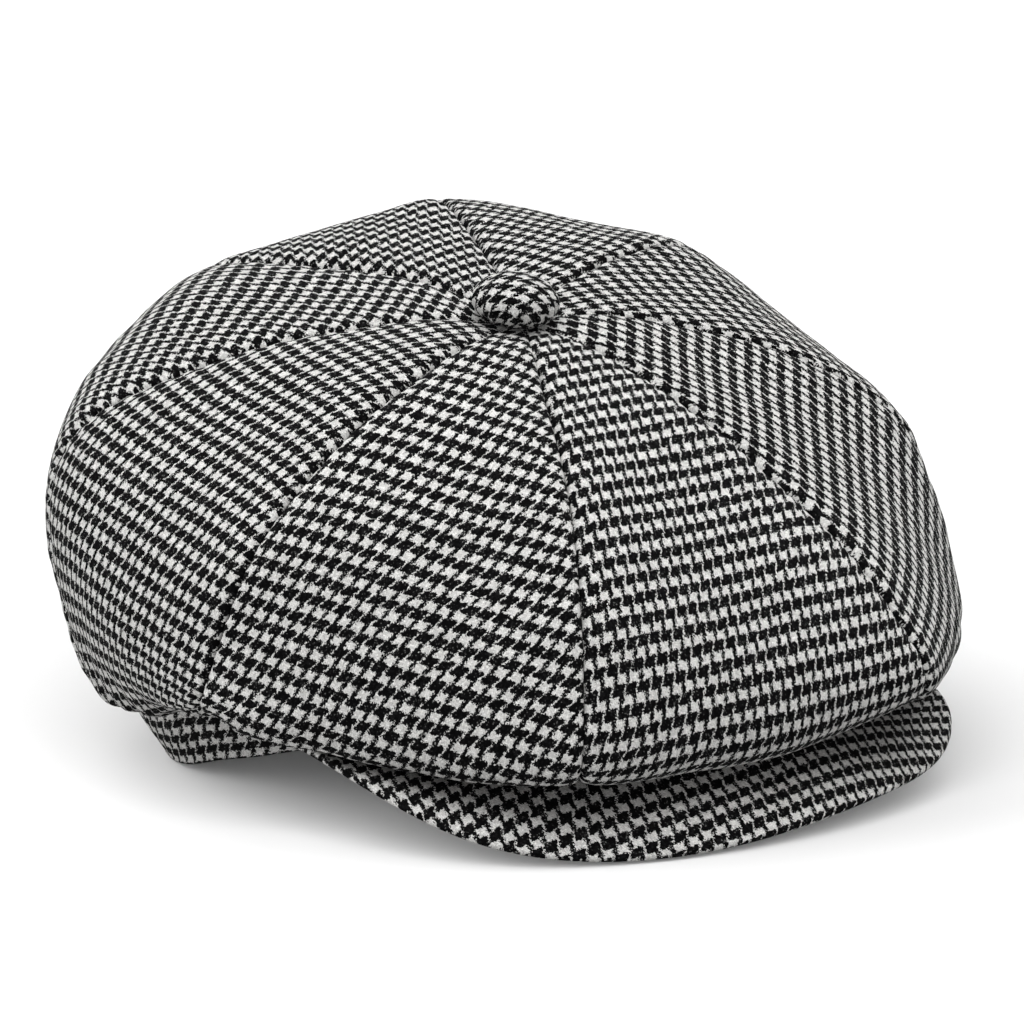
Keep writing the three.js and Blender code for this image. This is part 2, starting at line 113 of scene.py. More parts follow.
# ---------------------------------------------------------------- the part's surfaces
def spline(ts, ys, flat=False):
    """Cubic spline through ys at ts, natural or with level ends."""
    ts, ys = np.asarray(ts, float), np.asarray(ys, float)
    n, h = len(ts) - 1, np.diff(ts)
    slope = np.diff(ys, axis=0) / (h[:, None] if ys.ndim > 1 else h)
    m, r = np.eye(n + 1), np.zeros((n + 1,) + ys.shape[1:])
    for i in range(1, n):
        m[i, i - 1], m[i, i], m[i, i + 1], r[i] = h[i - 1], 2 * (h[i - 1] + h[i]), h[i], 6 * (slope[i] - slope[i - 1])
    if flat:
        m[0, 0], m[0, 1], r[0] = 2, 1, 6 / h[0] * slope[0]
        m[n, n - 1], m[n, n], r[n] = 1, 2, -6 / h[n - 1] * slope[n - 1]
    k = np.linalg.solve(m, r)

    def at(t):
        t = np.asarray(t, float)
        i = np.clip(np.searchsorted(ts, t, side="left") - 1, 0, n - 1)
        a, b, hh = (ts[i + 1] - t) / h[i], (t - ts[i]) / h[i], h[i]
        if ys.ndim > 1:
            a, b, hh = a[..., None], b[..., None], hh[..., None]
        return a * ys[i] + b * ys[i + 1] + ((a ** 3 - a) * k[i] + (b ** 3 - b) * k[i + 1]) * hh ** 2 / 6
    return at


def step(a, b, x):
    x = np.clip((x - a) / (b - a), 0, 1)
    return x * x * (3 - 2 * x)


def unit(v):
    return v / (np.linalg.norm(v, axis=-1, keepdims=True) + 1e-12)


def stack(*c):
    return np.stack(np.broadcast_arrays(*c), -1)


low_at, top_at, flare_at = (spline(BAND_ROWS[:, 0], BAND_ROWS[:, c], True) for c in (1, 2, 3))


def from_front(theta):
    return np.abs((np.asarray(theta) + 180) % 360 - 180)


def band_low(theta):
    f = from_front(theta)
    return np.where(f >= 121, 0, np.maximum(0, low_at(f)))


def band_point(theta, f, out=0.0):
    a, lo, hi = np.radians(theta), band_low(theta), top_at(from_front(theta))
    g = flare_at(from_front(theta)) * f + out
    return stack((BAND["half_width"] + g) * np.sin(a), BAND["centre_y"] - (BAND["half_length"] + g) * np.cos(a),
                 lo + (hi - lo) * f)


pitch, roll = np.radians(CROWN["pitch"]), np.radians(CROWN["roll"])
LEAN = (np.array([[1, 0, 0], [0, np.cos(pitch), -np.sin(pitch)], [0, np.sin(pitch), np.cos(pitch)]])
        @ np.array([[np.cos(roll), 0, np.sin(roll)], [0, 1, 0], [-np.sin(roll), 0, np.cos(roll)]]))
ORIGIN = np.array([0, CROWN["centre_y"], CROWN["centre_z"]])


def in_crown(angle, r, h):
    a = np.radians(angle)
    return stack(r * np.sin(a), -r * np.cos(a), h) @ LEAN.T + ORIGIN


seam_theta, seam_at = [], []
for angle, wide, h1, h2, h3, h4, low_r, low_h in SEAMS:
    pts = [in_crown(angle, RING_SHARE[i] * wide, h) for i, h in enumerate((CROWN["apex"], h1, h2, h3, h4))]
    pts.append(in_crown(angle, low_r, low_h))
    theta = np.degrees(np.arctan2(pts[-1][0] / BAND["half_width"], -(pts[-1][1] - BAND["centre_y"]) / BAND["half_length"]))
    pts.append(band_point(theta, 1.0) + [0, 0, SEAT_GAP])
    while seam_theta and theta < seam_theta[-1]:
        theta += 360
    seam_theta.append(theta)
    seam_at.append(spline(RING_AT, np.array(pts)))


def theta_on(k, s):
    a = seam_theta[k]
    b = seam_theta[(k + 1) % 8] + (360 if k == 7 else 0)
    return a + (b - a) * s


def crown(k, s, t):
    """A point of gore k: s runs from its left seam to its right one, t from the apex to the band."""
    s, t = np.broadcast_arrays(np.asarray(s, float), np.asarray(t, float))
    left, right = seam_at[k], seam_at[(k + 1) % 8]

    def across(u):
        return left(u) * (1 - s)[..., None] + right(u) * s[..., None]
    run = across(np.minimum(1, t + .002)) - across(np.maximum(0, t - .002))
    out = unit(np.cross(run, right(t) - left(t)))
    swell = sum(b * np.exp(-((t - m) / .17) ** 2) for b, m in zip(SWELL[PANELS[k]], (.3, .58, .82)))
    swell = swell * np.clip(t / .12, 0, 1) * np.clip((1 - t) / .08, 0, 1)
    foot = band_point(theta_on(k, s), 1.0) + [0, 0, SEAT_GAP] - across(np.ones_like(t))
    return across(t) + foot * step(.86, 1, t)[..., None] + out * (4 * s * (1 - s) * swell)[..., None]


def crown_out(k, s, t):
    """The outward direction there."""
    e = 2e-3
    s, t = np.broadcast_arrays(np.asarray(s, float), np.asarray(t, float))
    s1, s0, t1, t0 = np.minimum(1, s + e), np.maximum(0, s - e), np.minimum(1, t + e), np.maximum(.004, t - e)
    return unit(np.cross(crown(k, s, t1) - crown(k, s, t0), crown(k, s1, t) - crown(k, s0, t)))


both = np.concatenate([-PEAK_ROWS[::-1, 0], PEAK_ROWS[1:, 0]])
peak_reach = spline(both, np.concatenate([PEAK_ROWS[::-1, 1], PEAK_ROWS[1:, 1]]))
peak_height = spline(both, np.concatenate([PEAK_ROWS[::-1, 2], PEAK_ROWS[1:, 3]]))


def peak_point(angle, v, upper):
    """A point of the peak's upper or lower face: v runs from its root on the band to its free edge."""
    a = np.radians(angle)
    theta = np.degrees(np.arctan2(np.sin(a) / BAND["half_width"], np.cos(a) / BAND["half_length"]))
    tall = top_at(from_front(theta)) - band_low(theta)
    r = peak_reach(angle)
    edge = stack(r * np.sin(a), BAND["centre_y"] - r * np.cos(a), np.maximum(0, peak_height(angle)) + upper * PEAK["edge"])
    root = band_point(theta, upper * PEAK["thickness"] / tall, PEAK["gap"])
    p = root * (1 - v)[..., None] + edge * v[..., None]
    p[..., 2] += 4 * v * (1 - v) * PEAK["arch"] * np.cos(np.radians(90 * angle / PEAK["end"]))
    return p


def drawn_in(r):
    """How far the button's thread draws the crown down, at a distance from the button's middle."""
    return DRAWN["depth"] * np.exp(-(r / DRAWN["reach"]) ** 2) + .3 * np.exp(-((r - 10.5) / 2.2) ** 2)


# ---------------------------------------------------------------- helpers for meshes
band_lo, band_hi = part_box("band")
SHIFT = np.array([(band_lo.x + band_hi.x) * 500, band_hi.y * 1000 - (BAND["centre_y"] + BAND["half_length"] + 14.0), 0.0])


def ripple(count, shortest, longest, seed):
    """Smooth unevenness of cloth, as a sum of waves through space; about 1 at its highest."""
    rng = np.random.default_rng(seed)
    way = unit(rng.normal(size=(count, 3))) * (2 * np.pi / np.exp(rng.uniform(np.log(shortest), np.log(longest), count)))[:, None]
    at = rng.uniform(0, 2 * np.pi, count)
    return lambda p: np.sin(p @ way.T + at).sum(-1) / np.sqrt(2.0 * count)


def lay(name, x, y):
    """Repeats of the check across and down at a place of a flat cut."""
    across, down = LAY[name]
    if name == "peak":
        x, y = x / 60, (y + 110) / 40
    else:
        x, y = x / 50, (y - 90) / 90
    deg = {10: 3, 15: 4, 21: 5, 28: 6, 36: 7}[len(across)]
    terms = [x ** i * y ** j for i in range(deg + 1) for j in range(deg + 1 - i)]
    return stack(sum(c * b for c, b in zip(across, terms)), sum(c * b for c, b in zip(down, terms)))


def shell(name, p, start, end, ring=False, ends=True, flat_from=None):
    """A closed mesh from sections p[i], each a closed loop of points; start and end hold the cloth's
    coordinates at both ends of each of the loop's segments. flat_from lists segments shaded flat."""
    n, m = p.shape[:2]
    verts = ((p + SHIFT) / 1000).reshape(-1, 3)
    faces, uvs, smooth = [], [], []
    for i in range(n if ring else n - 1):
        j = (i + 1) % n
        u = i + 1
        for l in range(m):
            q = (l + 1) % m
            faces.append((i * m + l, i * m + q, j * m + q, j * m + l))
            uvs += [start[i, l], end[i, l], end[u, l], start[u, l]]
            smooth.append(flat_from is None or l not in flat_from)
    if ends and not ring:
        for l in range(m // 2 - 1):
            q, r, o = l + 1, m - 2 - l, m - 1 - l
            faces.append((l, o, r, q))
            uvs += [start[0, l], start[0, o], start[0, r], start[0, q]]
            b = (n - 1) * m
            faces.append((b + l, b + q, b + r, b + o))
            uvs += [start[-1, l], start[-1, q], start[-1, r], start[-1, o]]
            smooth += [False, False]
    return mesh(name, verts, faces, np.array(uvs), smooth)


def mesh(name, verts, faces, uvs, smooth):
    data = bpy.data.meshes.new(name)
    data.from_pydata(verts.tolist(), [], faces)
    data.polygons.foreach_set("use_smooth", smooth)
    layer = data.uv_layers.new(name="UVMap")
    layer.data.foreach_set("uv", np.asarray(uvs, float).ravel())
    data.update()
    obj = bpy.data.objects.new(name, data)
    bpy.context.scene.collection.objects.link(obj)
    return obj


def finish_piece(obj, node):
    obj.data.materials.append(WOOL)
    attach(obj, "root")
    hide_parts(node)


# ---------------------------------------------------------------- the cloth
class Net:
    """Shader nodes by arithmetic: every argument is a socket or a number."""

    def __init__(self, tree):
        self.tree = tree

    def new(self, kind, **props):
        node = self.tree.nodes.new(kind)
        for k, v in props.items():
            setattr(node, k, v)
        return node

    def put(self, socket, value):
        if isinstance(value, bpy.types.NodeSocket):
            self.tree.links.new(value, socket)
        else:
            socket.default_value = value

    def math(self, op, *args):
        node = self.new("ShaderNodeMath", operation=op)
        for socket, a in zip(node.inputs, args):
            self.put(socket, a)
        return node.outputs[0]

    def add(self, a, b): return self.math("ADD", a, b)
    def sub(self, a, b): return self.math("SUBTRACT", a, b)
    def mul(self, a, b): return self.math("MULTIPLY", a, b)
    def fma(self, a, b, c): return self.math("MULTIPLY_ADD", a, b, c)
    def fract(self, a): return self.math("FRACT", a)

    def ease(self, x, lo, hi, a=0.0, b=1.0):
        node = self.new("ShaderNodeMapRange", interpolation_type="SMOOTHSTEP")
        for name, v in (("Value", x), ("From Min", lo), ("From Max", hi), ("To Min", a), ("To Max", b)):
            self.put(node.inputs[name], v)
        return node.outputs["Result"]

    def mix(self, f, a, b):
        node = self.new("ShaderNodeMix", data_type="FLOAT")
        for i, v in ((0, f), (2, a), (3, b)):
            self.put(node.inputs[i], v)
        return node.outputs[0]

    def noise(self, vector, scale, detail=1.0, rough=0.5, dims="2D"):
        node = self.new("ShaderNodeTexNoise", noise_dimensions=dims)
        self.put(node.inputs["Vector"], vector)
        self.put(node.inputs["Scale"], scale)
        self.put(node.inputs["Detail"], detail)
        self.put(node.inputs["Roughness"], rough)
        return node

    def xyz(self, vector):
        node = self.new("ShaderNodeSeparateXYZ")
        self.put(node.inputs[0], vector)
        return node.outputs

    def vec(self, x, y, z=0.0):
        node = self.new("ShaderNodeCombineXYZ")
        for socket, v in zip(node.inputs, (x, y, z)):
            self.put(socket, v)
        return node.outputs[0]

    def rgb(self, c):
        node = self.new("ShaderNodeSeparateColor")
        self.put(node.inputs[0], c)
        return node.outputs


def houndstooth():
    mat = bpy.data.materials.new("houndstooth_wool")
    mat.use_nodes = True
    tree = mat.node_tree
    tree.nodes.clear()
    g = Net(tree)
    out = g.new("ShaderNodeOutputMaterial")
    shader = g.new("ShaderNodeBsdfPrincipled")
    tree.links.new(shader.outputs[0], out.inputs[0])

    cloth = g.new("ShaderNodeUVMap", uv_map="UVMap").outputs[0]
    u0, v0, _ = g.xyz(cloth)

    # loose, uneven yarn: the check wanders a little, and each crossing of two yarns sits a little off its place
    slow = g.rgb(g.noise(cloth, .8, 1.0).outputs[1])
    fine = g.rgb(g.noise(cloth, 7.0, 2.0, .6).outputs[1])
    u1 = g.add(u0, g.fma(slow[0], .20, -.10))
    v1 = g.add(v0, g.fma(slow[1], .16, -.08))
    i, j = g.mul(g.add(u1, g.fma(fine[0], .10, -.05)), 8.0), g.mul(g.add(v1, g.fma(fine[1], .10, -.05)), 9.0)
    place = g.vec(g.math("FLOOR", i), g.math("FLOOR", j))
    chance = g.new("ShaderNodeTexWhiteNoise", noise_dimensions="2D")
    g.put(chance.inputs["Vector"], place)
    tuft = chance.outputs["Value"]
    chance = g.rgb(chance.outputs["Color"])
    fibre = g.new("ShaderNodeTexWhiteNoise", noise_dimensions="2D")
    g.put(fibre.inputs["Vector"], g.vec(g.math("FLOOR", g.mul(i, 1.7)), g.math("FLOOR", g.mul(j, 1.8))))
    fibre = fibre.outputs["Value"]
    u = g.add(u1, g.add(g.fma(chance[0], .08, -.04), g.fma(fine[0], .08, -.04)))
    v = g.add(v1, g.add(g.fma(chance[1], .06, -.03), g.fma(fine[1], .06, -.03)))
    fu, fv = g.fract(u), g.fract(v)

    # rows of light and of dark stars, each crossed by a slanting line of the other colour
    w = g.math("MINIMUM", g.math("MAXIMUM", g.fma(g.fract(g.add(fv, .25)), 2.0, -.5), 0.0), 1.0)
    bend = g.mul(g.math("COSINE", g.mul(g.add(g.fma(w, .30, -.40), fu), 2 * np.pi)), -.17)
    row = g.ease(g.add(g.math("SINE", g.mul(fv, 2 * np.pi)), bend), -.38, .62)

    def near(centre, half, soft):
        d = g.math("ABSOLUTE", g.sub(g.fract(g.add(g.sub(fu, centre), .5)), .5))
        return g.ease(g.sub(d, half), -soft, soft, 1.0, 0.0)
    left = g.fma(g.math("POWER", g.sub(1.0, w), 2.2), .20, .51)
    right = g.fma(g.math("POWER", w, 1.6), -.25, 1.00)
    dark_line = near(g.mul(g.add(left, right), .5), g.mul(g.sub(right, left), .5), .11)
    x = g.fma(g.fract(g.sub(fv, .25)), 2.0, -1.0)
    sway = g.fma(g.math("SINE", g.mul(x, np.pi * 1.1)), -.14, .235)
    light_line = near(sway, g.fma(g.math("POWER", g.math("ABSOLUTE", g.mul(x, 2.0)), 6.0), .02, .078), .07)
    share = g.mix(row, g.mul(light_line, .64), g.fma(dark_line, -.90, 1.0))
    # at each crossing one yarn or the other lies on top
    light = g.ease(g.sub(g.fma(share, 1.10, -.07), fibre), -.16, .16)

    # the twill: yarns over two and under two
    fi, fj = g.fract(i), g.fract(j)
    over = g.math("LESS_THAN", g.fract(g.mul(g.add(g.math("FLOOR", i), g.math("FLOOR", j)), .25)), .5)

    def round_top(f):
        x = g.fma(f, 2.0, -1.0)
        return g.sub(1.0, g.mul(x, x))
    yarn = g.mix(over, round_top(fj), round_top(fi))
    fluff = g.noise(cloth, 9.0, 3.0, .7)
    hair = fluff.outputs[0]
    height = g.add(g.mul(yarn, .6), g.add(g.mul(hair, .8), g.mul(chance[2], .35)))

    # colour: off-white and near-black yarn, each crossing a little lighter or darker at random, with strays of the
    # other; the light yarn also carries painted shade, darker where each yarn's rounded top falls away into the hollows
    # between yarns
    lit = g.mul(g.ease(hair, .25, .75, .80, 1.12), g.fma(tuft, .36, .82))
    # painted shade: the light yarn is darkened towards the edges of each yarn, in the hollows between yarns, following
    # the yarn's height
    painted_yarn_shade = g.fma(yarn, .28, .80)
    # the yarn's random tone times the painted shade in its hollows
    yarn_tone_and_painted_shade = g.mul(lit, painted_yarn_shade)
    stray = g.math("POWER", tuft, 4.0)

    def channel(white, black):
        w = g.mul(yarn_tone_and_painted_shade, white)
        b = g.fma(stray, black * 4.0, black)
        return g.mix(light, b, w)
    colour = g.new("ShaderNodeCombineColor")
    for socket, (w, b) in zip(colour.inputs, ((.570, .0016), (.566, .0016), (.552, .0017))):
        g.put(socket, channel(w, b))
    g.put(shader.inputs["Base Color"], colour.outputs[0])

    shader.inputs["Roughness"].default_value = .93
    shader.inputs["Specular IOR Level"].default_value = .03
    shader.inputs["Sheen Weight"].default_value = .006
    shader.inputs["Sheen Roughness"].default_value = .55
    shader.inputs["Sheen Tint"].default_value = (.92, .92, .92, 1)
    bump = g.new("ShaderNodeBump")
    bump.inputs["Strength"].default_value = .65
    bump.inputs["Distance"].default_value = .00022
    g.put(bump.inputs["Height"], height)
    g.put(shader.inputs["Normal"], bump.outputs[0])
    return mat


WOOL = houndstooth()

# ---------------------------------------------------------------- the eight gores
ROWS = np.concatenate([np.linspace(.004, .1, 12, endpoint=False), np.linspace(.1, .76, 78, endpoint=False), np.linspace(.76, 1, 52)])
EDGE = np.array([.06, .25, .5, .85, 1.3, 1.9, 2.7, 3.8, 5.2, 6.9, 7.3, 9.0])
INSIDE = 35
soft = ripple(14, 34, 90, 3)
crease = ripple(10, 13, 24, 5)


def relief(p):
    """How far the worn cloth stands off its cut shape."""
    high = np.zeros(p.shape[:-1])
    for row in RELIEF:
        a, way = row[:3], row[3:6] - row[:3]
        f = np.clip((p - a) @ way / max(way @ way, 1e-9), 0, 1)
        high += row[7] * np.exp(-(np.linalg.norm(p - a - f[..., None] * way, axis=-1) / row[6]) ** 2)
    return high


def flat_cut(k):
    """The gore laid flat: its width and its distance from the apex, row by row."""
    s = np.linspace(0, 1, 33)
    width = np.linalg.norm(np.diff(crown(k, s[None, :], ROWS[:, None]), axis=1), axis=-1).sum(1)
    t = np.linspace(0, 1, 401)
    run = np.concatenate([[0], np.cumsum(np.linalg.norm(np.diff(crown(k, np.full_like(t, .5), t), axis=0), axis=-1))])
    return width, np.interp(ROWS, t, run)


def seam_out(k, t):
    """The direction square to the cloth on the seam at gore k's left."""
    return unit(crown_out((k - 1) % 8, np.ones_like(t), t) + crown_out(k, np.zeros_like(t), t))


def gore(k):
    name = PANELS[k]
    width, down = flat_cut(k)
    scale = np.minimum(1, width / 40)[:, None]
    w = width[:, None]
    inner = np.linspace(0, 1, INSIDE + 2)[None, 1:-1]
    e = EDGE[None, :] * scale
    far = EDGE[-1] * scale
    x = np.concatenate([e, far + (w - 2 * far) * inner, w - e[:, ::-1]], 1)
    s = x / w
    t = np.broadcast_to(ROWS[:, None], s.shape)
    p = crown(k, s, t)
    out = crown_out(k, s, t)
    flat = (p - ORIGIN) @ LEAN
    p = p - drawn_in(np.hypot(flat[..., 0] - DRAWN["shift_x"], flat[..., 1] - DRAWN["shift_y"]))[..., None] * LEAN[:, 2]
    to_left, to_right = x, w - x
    pull = np.exp(-(to_left / 5) ** 2)[..., None], np.exp(-(to_right / 5) ** 2)[..., None]
    sides = seam_out(k, ROWS)[:, None, :], seam_out((k + 1) % 8, ROWS)[:, None, :]
    out = unit(out * (1 - np.clip(pull[0] + pull[1], 0, 1)) + sides[0] * pull[0] + sides[1] * pull[1])

    d = np.minimum(to_left, to_right)
    fade = np.clip(width / 26, 0, 1)[:, None]
    valley = (1.15 * np.exp(-d / 3.6) + 1.0 * np.exp(-d / .6)) * fade
    valley = valley + (.25 * np.exp(-d / 4.2) + .55 * np.exp(-d / .9)) * fade * (1 - step(.86, .96, t))
    # the cloth puckers a little along its seams, and is eased into the band below
    along = down[:, None] + np.where(to_left < to_right, 0, 3.1) + 9.7 * k
    pucker = .22 * np.sin(2 * np.pi * along / 8.3 + 1.3 * np.sin(along / 17)) * np.exp(-d / 6) * fade * (1 - step(.9, 1, t))
    theta = np.radians(theta_on(k, s))
    eased = .9 * step(.80, .93, t) * (1 - step(.965, 1, t)) * np.sin(43 * theta + 1.9 * np.sin(4 * theta) + .8 * np.sin(11 * theta))
    lift = .75 * soft(p) * np.clip(width / 40, 0, 1)[:, None] * (1 - step(.95, 1, t)) + .18 * crease(p) * fade
    lift = lift + relief(p) * (1 - step(.95, 1, t))
    face = p + out * (lift + pucker + eased - valley)[..., None]
    # inside, the seam allowances lie pressed open along both seams
    depth = CLOTH + .8 * (1 - step(6.9, 7.3, d / np.maximum(scale, .3))) * fade
    back = face - out * depth[..., None]

    uv = lay(name, (s - .5) * w, np.broadcast_to(down[:, None], s.shape))
    loop = np.concatenate([face, back[::-1]], 0).transpose(1, 0, 2)
    at = np.concatenate([uv, uv[::-1]], 0).transpose(1, 0, 2)
    rows = len(ROWS)
    obj = shell("cloth_" + name, loop, at, np.roll(at, -1, 1), flat_from={rows - 1, 2 * rows - 1})
    finish_piece(obj, name)
    area = np.trapezoid(width, down) if hasattr(np, "trapezoid") else np.trapz(width, down)
    return obj


for k in range(8):
    gore(k)


# ---------------------------------------------------------------- the band
def band():
    theta = np.linspace(0, 360, 361)[:-1]
    hem = BAND["wall"] / 2
    f = np.linspace(1, 0, 13)
    loop = []
    tall = top_at(from_front(theta)) - band_low(theta)
    wave = .45 * np.sin(np.radians(theta) * 31 + 1.4 * np.sin(np.radians(theta) * 5)) + .25 * np.sin(np.radians(theta) * 13)
    rise = hem / tall
    for q in f:
        g = rise + (1 - rise) * q
        bow = .5 * np.sin(np.pi * q) - .8 * q ** 4
        loop.append(band_point(theta, g, bow + wave * q * .8))
    for a in np.radians([25, 52, 90, 128, 155]):
        p = band_point(theta, rise, -hem + hem * np.cos(a))
        p[:, 2] -= hem * np.sin(a)
        loop.append(p)
    for q in f[::-1]:
        g = rise + (1 - rise) * q
        loop.append(band_point(theta, g, -BAND["wall"] - .8 * q ** 4 + wave * q * .8))
    # its turning stands up inside the crown's seam
    for out, up in ((-4.2, 4.0), (-3.1, 4.0), (-3.0, .2)):
        loop.append(band_point(theta, 1.0, out + wave * .8) + [0, 0, up])
    p = np.array(loop).transpose(1, 0, 2)
    run = np.concatenate([[0], np.cumsum(np.linalg.norm(np.diff(np.concatenate([p[:, 12], p[:1, 12]]), axis=0), axis=-1))])
    drop = np.concatenate([np.zeros((360, 1)), np.cumsum(np.linalg.norm(np.diff(p, axis=1), axis=-1), axis=1)], 1)
    # measured from the hem, so that the check runs level along it
    drop = drop - drop[:, 15:16]
    drop = np.concatenate([drop, drop[:1]], 0)
    at = stack(run[:, None] / 6.45 + .31 * (drop / 5.0 + .73) + .09, drop / 5.0 + .73)
    end = np.concatenate([at[:, 1:], at[:, -1:]], 1)
    obj = shell("cloth_band", p, at, end, ring=True, flat_from={p.shape[1] - 1})
    finish_piece(obj, "band")
    wide = float(np.linalg.norm(p - np.roll(p, 1, axis=1), axis=-1).sum(1).mean()) / 2


band()


# ---------------------------------------------------------------- the peak
def peak():
    a = np.linspace(-1, 1, 141)
    angle = PEAK["end"] * (1.12 * a - .12 * a ** 3)
    angle = PEAK["end"] * angle / angle[-1]
    v = np.concatenate([[0], np.linspace(.02, 1, 34)])
    up, under = (peak_point(angle, np.ones_like(angle), u) for u in (1.0, 0.0))
    root = peak_point(angle, np.zeros_like(angle), 1.0)
    reach = np.linalg.norm((up - root)[:, :2], axis=-1)
    hem = np.minimum(PEAK["edge"] / 2, reach * .3)
    stop = 1 - hem / reach
    top, low = ([peak_point(angle, q * stop, u) for q in v] for u in (1.0, 0.0))
    way = unit((up - root) * [1, 1, 0])
    mid, half = (top[-1] + low[-1]) / 2, (top[-1] - low[-1]) / 2
    turn = [mid + half * np.cos(b) + way * (hem * np.sin(b))[:, None] for b in np.radians([22, 45, 68, 112, 135, 158])]
    ease = ripple(12, 26, 70, 11)
    swell = [.35 * ease(q) * np.sin(np.pi * min(1, .15 + i / 40)) for i, q in enumerate(top)]
    for i in range(1, len(v)):
        top[i] = top[i] + np.array([0, 0, 1]) * swell[i][:, None]
        low[i] = low[i] + np.array([0, 0, 1]) * swell[i][:, None]
    turn = [q + np.array([0, 0, 1]) * swell[-1][:, None] for q in turn]
    loop = np.array(top + turn + low[::-1]).transpose(1, 0, 2)
    upper = [lay("peak", q[:, 0], q[:, 1]) for q in top]
    lip = []
    gone = np.zeros_like(reach)
    last = top[-1]
    for q in turn:
        gone = gone + np.linalg.norm(q - last, axis=-1)
        last = q
        flat = top[-1] + way * gone[:, None]
        lip.append(lay("peak", flat[:, 0], flat[:, 1]))
    lower = [stack(q[:, 0] / 3.9 + .3, -q[:, 1] / 5.6 + .1) for q in low]
    at = np.array(upper + lip + lower[::-1]).transpose(1, 0, 2)
    end = np.roll(at, -1, 1)
    cut = len(top) + len(turn) - 1
    end[:, cut] = at[:, cut]
    end[:, -1] = at[:, -1]
    obj = shell("cloth_peak", loop, at, end, flat_from={loop.shape[1] - 1})
    finish_piece(obj, "peak")


peak()


# ---------------------------------------------------------------- the button
def button():
    b, apex = DRAWN, CROWN["apex"]
    phi = np.linspace(0, 360, 145)[:-1]
    lift = np.array([b["shift_x"], b["shift_y"], 0]) @ LEAN.T

    def seat(r):
        """The crown's height under the button, at each angle."""
        t = r / (RING_SHARE[1] * SEAMS[:, 1].mean()) * RING_AT[1]
        hs = np.array([((seam_at[k](np.array(t)) - ORIGIN) @ LEAN)[2] for k in range(8)])
        ang = np.concatenate([SEAMS[:, 0], [SEAMS[0, 0] + 360]])
        return np.interp((phi + 23) % 360 - 23, ang, np.append(hs, hs[0])) - drawn_in(r)
    low = seat(b["foot"]) + .4
    up = np.radians([90, 84, 77, 69, 61, 53, 45, 37, 29, 21, 13, 5])
    rows = [(np.full_like(phi, b["wide"] * np.cos(q)), np.full_like(phi, apex + b["waist"] + b["rise"] * np.sin(q))) for q in up]
    for f in (.25, .5, .75, .92, 1.0):
        turn = np.sqrt(1 - f ** 2 * (1 - (b["foot"] / b["wide"]) ** 2))
        rows.append((np.full_like(phi, b["wide"] * turn), (apex + b["waist"]) * (1 - f) + low * f))
    for r in (.90, .60, .30, 0):
        rows.append((np.full_like(phi, b["foot"] * r), seat(b["foot"] * r) + .4))
    gather = np.concatenate([np.linspace(0, 0, 5), np.linspace(0, 1, 7), np.linspace(1, 1, 4), np.linspace(.7, 0, 5)])
    rad = np.radians(phi)
    fold = .32 * np.sin(15 * rad + 1.2 * np.sin(3 * rad)) + .2 * np.sin(23 * rad + 2)
    pts = [in_crown(phi, np.maximum(0, r + gather[i] * fold * (r > 0)), h) + lift for i, (r, h) in enumerate(rows)]
    p = np.array(pts).transpose(1, 0, 2)
    run = np.concatenate([np.zeros((len(phi), 1)), np.cumsum(np.linalg.norm(np.diff(p, axis=1), axis=-1), axis=1)], 1)
    run = run.mean(0)
    x, y = run[None] * np.sin(rad)[:, None], -run[None] * np.cos(rad)[:, None]
    right, away = (np.cos(np.radians(-33.65)), np.sin(np.radians(-33.65))), (np.sin(np.radians(33.65)), np.cos(np.radians(33.65)))
    sx, sy = x * right[0] + y * right[1], x * away[0] + y * away[1]
    at = stack(0.197 * sx - 0.101 * sy - 0.102, -0.065 * sx - 0.209 * sy - 1.660)
    at = np.concatenate([at, at[:1]], 0)
    n, m = p.shape[:2]
    verts = [((p[0, 0] + SHIFT) / 1000)] + [((p[i, l] + SHIFT) / 1000) for i in range(n) for l in range(1, m - 1)] + [((p[0, m - 1] + SHIFT) / 1000)]
    faces, uvs = [], []

    def vid(i, l):
        return 0 if l == 0 else (len(verts) - 1 if l == m - 1 else 1 + (i % n) * (m - 2) + l - 1)
    for i in range(n):
        for l in range(m - 1):
            corners = [(i, l), (i, l + 1), (i + 1, l + 1), (i + 1, l)]
            if l == 0:
                corners = corners[:3]
            if l == m - 2:
                corners = [corners[0], corners[1], corners[3]]
            faces.append([vid(*q) for q in corners])
            uvs += [at[q] for q in corners]
    obj = mesh("cloth_button", np.array(verts), faces, np.array(uvs), [True] * len(faces))
    finish_piece(obj, "button")


button()

# ---------------------------------------------------------------- the studio
def level(name, z, shade, glow=0.0):
    """A plain matt floor."""
    mat = bpy.data.materials.new(name)
    mat.use_nodes = True
    mat.node_tree.nodes.clear()
    matt, end = mat.node_tree.nodes.new("ShaderNodeBsdfDiffuse"), mat.node_tree.nodes.new("ShaderNodeOutputMaterial")
    matt.inputs["Color"].default_value = (shade, shade, shade, 1)
    lamp, both = mat.node_tree.nodes.new("ShaderNodeEmission"), mat.node_tree.nodes.new("ShaderNodeAddShader")
    lamp.inputs["Strength"].default_value = glow
    mat.node_tree.links.new(matt.outputs[0], both.inputs[0])
    mat.node_tree.links.new(lamp.outputs[0], both.inputs[1])
    mat.node_tree.links.new(both.outputs[0], end.inputs[0])
    data = bpy.data.meshes.new(name)
    data.from_pydata([(-12, -12, z), (12, -12, z), (12, 12, z), (-12, 12, z)], [], [(0, 1, 2, 3)])
    data.materials.append(mat)
    obj = bpy.data.objects.new(name, data)
    bpy.context.scene.collection.objects.link(obj)
    return obj


# the floor is lit to a clean white, as on a light table, and throws back less light than that at the cap
FLOOR_WHITE, FLOOR_GLOW, FLOOR_BOUNCE = .80, .05, .41
floor = level("studio_floor", 0.0, FLOOR_WHITE, FLOOR_GLOW)
floor.visible_diffuse = floor.visible_glossy = floor.visible_transmission = floor.visible_shadow = False
under = level("studio_under_floor", -.0003, FLOOR_BOUNCE)
under.visible_camera = False

